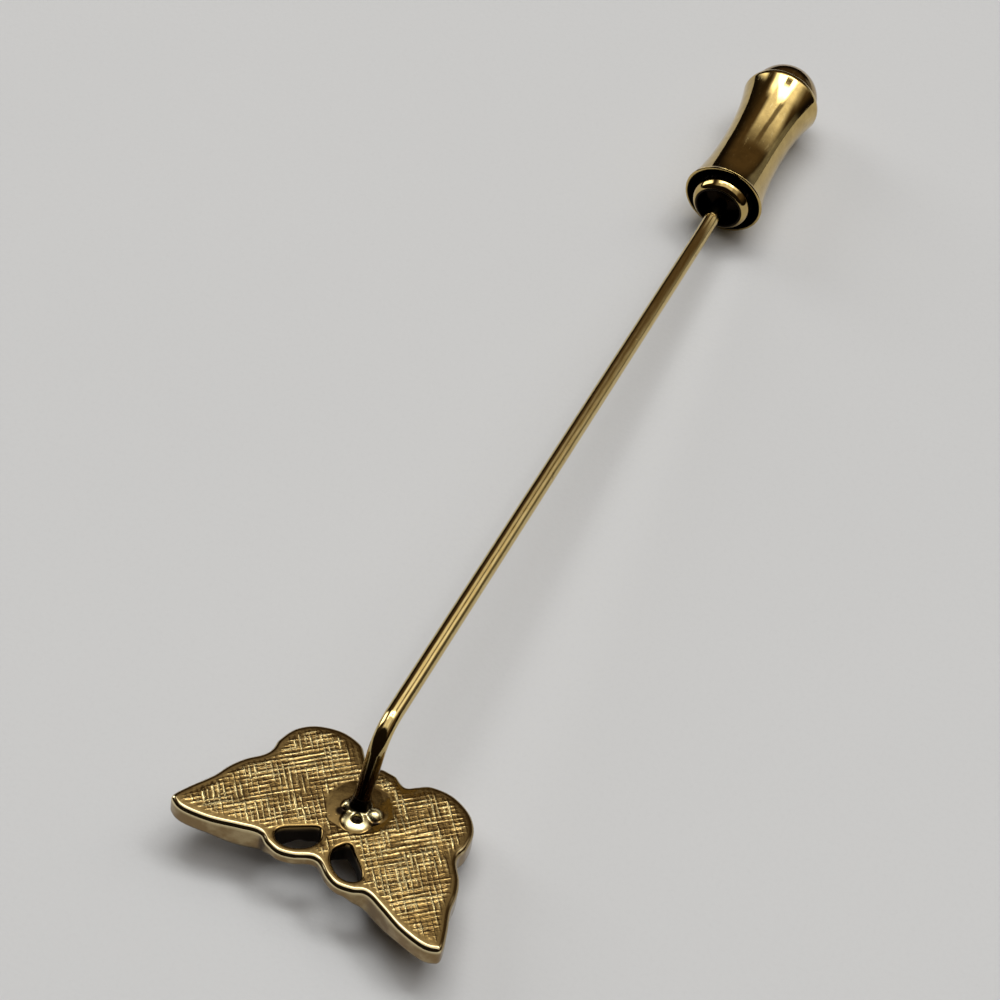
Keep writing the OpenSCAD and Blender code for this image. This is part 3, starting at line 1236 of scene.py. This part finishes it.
ring_deep = RING_START - COLLAR_OUT
collar_lip = arc(COLLAR_R - RING_WIDE, -RING_START, RING_WIDE, ring_deep, 90, 0, RING_STEPS)
collar_body = [(COLLAR_R, -0.2), (COLLAR_R, 0.4)]
collar_deep = [(COLLAR_R, 0.95), (1.9, 1.0), (1.5, 1.02), (1.5, 11.1), (0.56, 11.1)]
mouth = [(0.56, 0.75), (0.75, 0.62), (1.3, 0.60), (MOUTH_R - 0.02, 0.45), (MOUTH_R, -0.3)]
mouth += [(MOUTH_R, -0.7), (MOUTH_R + 0.01, -0.88)]
collar_profile = collar_lip + collar_body + collar_deep + mouth
collar_points, collar_faces = spun(collar_profile, True)
dark_from = RING_STEPS * TURNS
dark_to = DARK_RING_ROWS * TURNS
# Painted shade: the mouth and everything behind the bright ring are marked for near black.
collar_painted_shade = [float(k >= dark_from or k < dark_to) for k in range(len(collar_points))]
print("collar profile:", len(collar_profile), "points")

# %% Profile of the domed knob
DOME_R = 2.38
DOME_STEPS = 40
DARK_KNOB_ROWS = 3

knob_profile = [(1.53, 10.66), (2.20, 10.66), (2.24, 10.70), (DOME_R, 11.02)]
knob_profile += arc(0, SLEEVE_LEN, DOME_R, DOME_R, 0, 88, DOME_STEPS)
knob_points, knob_faces = spun(knob_profile, False)
tip_row = (len(knob_profile) - 1) * TURNS
knob_faces.append(tuple(tip_row + k for k in range(TURNS)))
# Painted shade: the knob's base, inside the sleeve, is marked for near black.
knob_painted_shade = [float(k < DARK_KNOB_ROWS * TURNS) for k in range(len(knob_points))]
print("knob reaches", round(SLEEVE_LEN + DOME_R, 2), "mm past the near rim")

# %% [markdown]
# The clutch's gold is polished but handled: tiny scratches along it, a slow ripple from the
# forming, and painted shade inside, where the sleeve covers it. Roughness carries most of it,
# since a smear on polished metal changes how sharp a reflection is more than its colour. The three
# pieces share one recipe but not its numbers: the collar is dented, and the domed end is browner.

# %% Clutch finish
def clutch_finish(name, base, film, dents):
    gold = new_finish(name)
    where = gold.millimetres()
    ripple = gold.noise(where, 0.45, 2.0)
    smear = gold.noise(where, 1.3, 4.0, 0.6)
    hairs = gold.noise(gold.stretched(where, (6.0, 1.0, 6.0)), 1.0, 2.0)
    scratch = gold.between(0.62, 0.70, hairs)
    dark = gold.mask("tarnish")
    shade = gold.tint(gold.between(0.35, 0.7, smear), base, film)
    shade = gold.tint(scratch * 0.35, shade, PALE_SCRATCH_AND_PAINTED_CREST_GOLD)
    # Painted shade: near black where the mask marks it.
    shade = gold.tint(dark, shade, PAINTED_SHADE_BLACK)
    rough = 0.03 + smear * 0.07 + scratch * 0.08 + dark * 0.3
    return gold_with(gold, shade, rough, gold.bump(ripple + scratch * 0.02, 0.15, dents))


SMOOTH = 0.0001
DENTED = 0.0007

sleeve_gold = clutch_finish("polished_sleeve_gold", GOLD, colour(0.46, 0.33, 0.12), SMOOTH)
collar_gold = clutch_finish("polished_collar_gold", GOLD, colour(0.50, 0.36, 0.14), DENTED)
knob_gold = clutch_finish(
    "polished_knob_gold", colour(0.40, 0.28, 0.12), colour(0.30, 0.20, 0.08), SMOOTH
)
print("polished:", sleeve_gold.name, collar_gold.name, knob_gold.name)

# %% Set the clutch's pieces on their bodies
make_piece(
    "sleeve", sleeve_points, sleeve_faces, sleeve_gold, AS_SLEEVE, None,
    {"tarnish": sleeve_painted_shade},
)
make_piece(
    "collar", collar_points, collar_faces, collar_gold, AS_COLLAR, None,
    {"tarnish": collar_painted_shade},
)
make_piece(
    "knob", knob_points, knob_faces, knob_gold, AS_KNOB, None, {"tarnish": knob_painted_shade},
)

# %% [markdown]
# ## Tones
# The photograph's tones are plain: white stays white and the gold keeps its colour in the
# lights. The standard view does that, where a filmic one would wash the gold out. A small helper
# turns a box into plain numbers. Last, the
# box of the dressed part is written beside the box of the packed one, to compare them.

# %% Tones and a helper for boxes
bpy.context.scene.view_settings.view_transform = "Standard"


def plain(box):
    return [[float(v) for v in corner] for corner in box]
